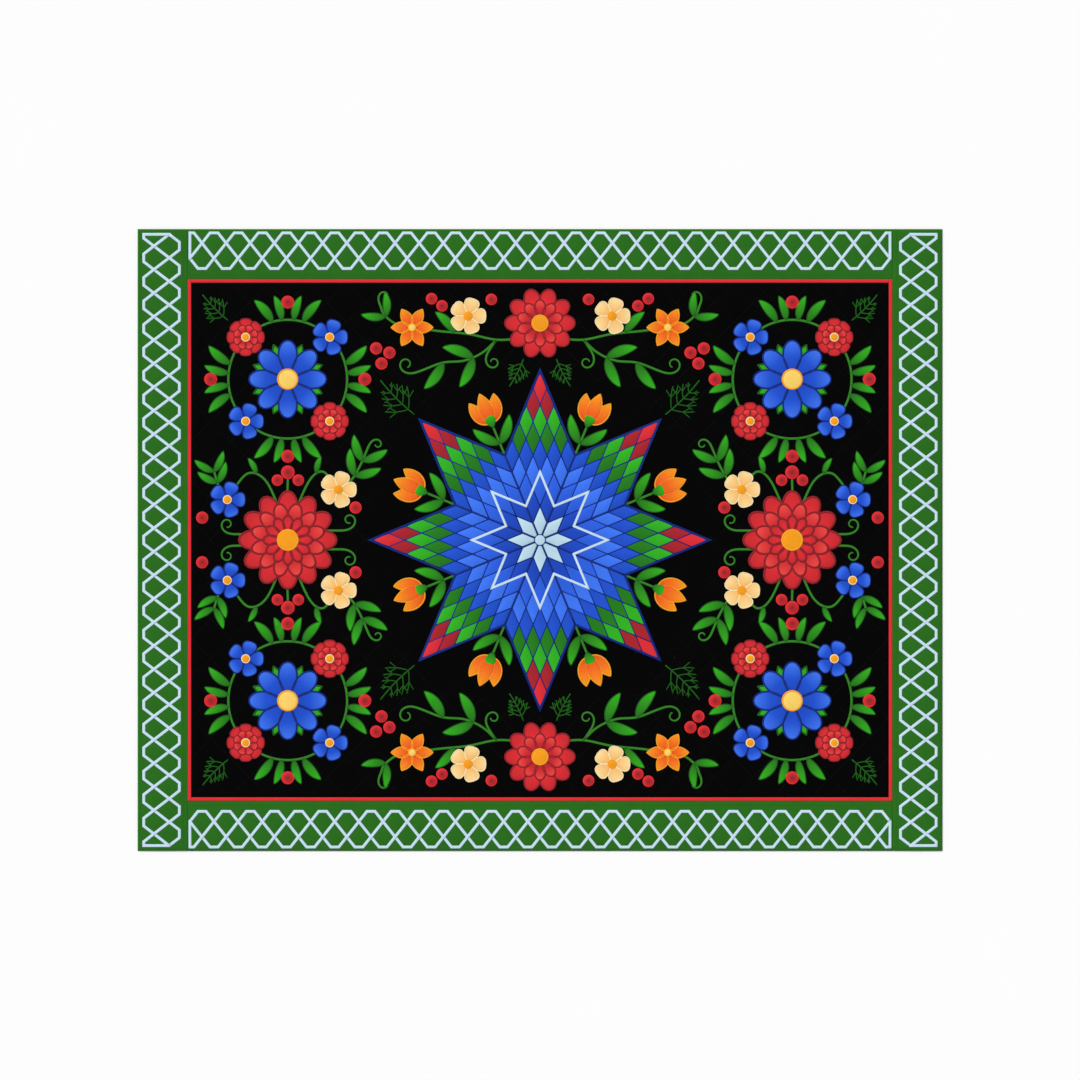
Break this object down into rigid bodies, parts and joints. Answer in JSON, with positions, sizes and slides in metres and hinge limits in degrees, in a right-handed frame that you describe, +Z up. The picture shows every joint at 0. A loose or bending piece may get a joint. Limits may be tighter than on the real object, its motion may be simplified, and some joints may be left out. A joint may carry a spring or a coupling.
{
  "type": "star quilt blanket",
  "caption": "Rectangular quilted blanket lying flat: black field with a pieced star and applique flowers, narrow red flange and a wide green border.",
  "frame": {"origin": "middle of the quilt, on its underside", "axes": "+X along the long side, +Y along the short side (up in the picture), +Z up, out of the quilt's face"},
  "size_m": [2.2352, 1.7272, 0.0071],
  "materials": {
    "black_cotton": "matt plain-weave cotton",
    "green_cotton": "matt plain-weave cotton",
    "red_cotton": "matt plain-weave cotton",
    "star_cotton": "plain-weave cotton patches, blue to ice blue, green and red",
    "blue_cotton": "matt plain-weave cotton",
    "orange_cotton": "matt plain-weave cotton",
    "cream_cotton": "matt plain-weave cotton"
  },
  "bodies": {
    "root": {"backing": "black_cotton", "blue_bloom_1": "blue_cotton", "blue_bloom_2": "blue_cotton", "blue_bloom_3": "blue_cotton", "blue_bloom_4": "blue_cotton", "border_bottom": "green_cotton", "border_left": "green_cotton", "border_right": "green_cotton", "border_top": "green_cotton", "cream_blossom_1": "cream_cotton", "cream_blossom_2": "cream_cotton", "cream_blossom_3": "cream_cotton", "cream_blossom_4": "cream_cotton", "cream_blossom_5": "cream_cotton", "cream_blossom_6": "cream_cotton", "cream_blossom_7": "cream_cotton", "cream_blossom_8": "cream_cotton", "dahlia_1": "red_cotton", "dahlia_2": "red_cotton", "field": "black_cotton", "flange_bottom": "red_cotton", "flange_left": "red_cotton", "flange_right": "red_cotton", "flange_top": "red_cotton", "forget_me_not_1": "blue_cotton", "forget_me_not_10": "blue_cotton", "forget_me_not_11": "blue_cotton", "forget_me_not_12": "blue_cotton", "forget_me_not_2": "blue_cotton", "forget_me_not_3": "blue_cotton", "forget_me_not_4": "blue_cotton", "forget_me_not_5": "blue_cotton", "forget_me_not_6": "blue_cotton", "forget_me_not_7": "blue_cotton", "forget_me_not_8": "blue_cotton", "forget_me_not_9": "blue_cotton", "lily_1": "orange_cotton", "lily_2": "orange_cotton", "lily_3": "orange_cotton", "lily_4": "orange_cotton", "red_rose_1": "red_cotton", "red_rose_2": "red_cotton", "red_rose_3": "red_cotton", "red_rose_4": "red_cotton", "red_rose_5": "red_cotton", "red_rose_6": "red_cotton", "red_rose_7": "red_cotton", "red_rose_8": "red_cotton", "star_point_1": "star_cotton", "star_point_2": "star_cotton", "star_point_3": "star_cotton", "star_point_4": "star_cotton", "star_point_5": "star_cotton", "star_point_6": "star_cotton", "star_point_7": "star_cotton", "star_point_8": "star_cotton", "zinnia_1": "red_cotton", "zinnia_2": "red_cotton"}
  },
  "joints": []
}
